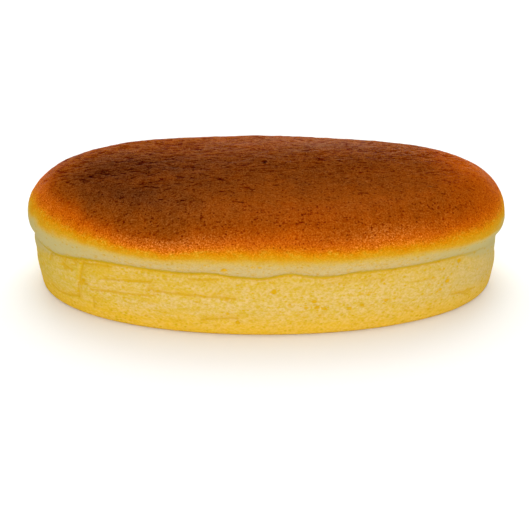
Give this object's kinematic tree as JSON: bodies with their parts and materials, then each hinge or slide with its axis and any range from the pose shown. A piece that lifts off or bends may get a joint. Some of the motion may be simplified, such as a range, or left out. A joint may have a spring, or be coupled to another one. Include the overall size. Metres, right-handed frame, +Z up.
{
  "type": "jiggly cheesecake",
  "caption": "Oval jiggly cheesecake with a domed browned top, a pale overhanging lip and a soft sponge side, resting on its flat underside.",
  "frame": {"origin": "centre of the cake's flat underside, on what it rests on", "axes": "+X along the cake, +Y across it towards the back, +Z up through the browned top"},
  "size_m": [0.21, 0.118, 0.054],
  "materials": {
    "cheesecake": "matte"
  },
  "bodies": {
    "root": {"cake": "cheesecake"}
  },
  "joints": []
}
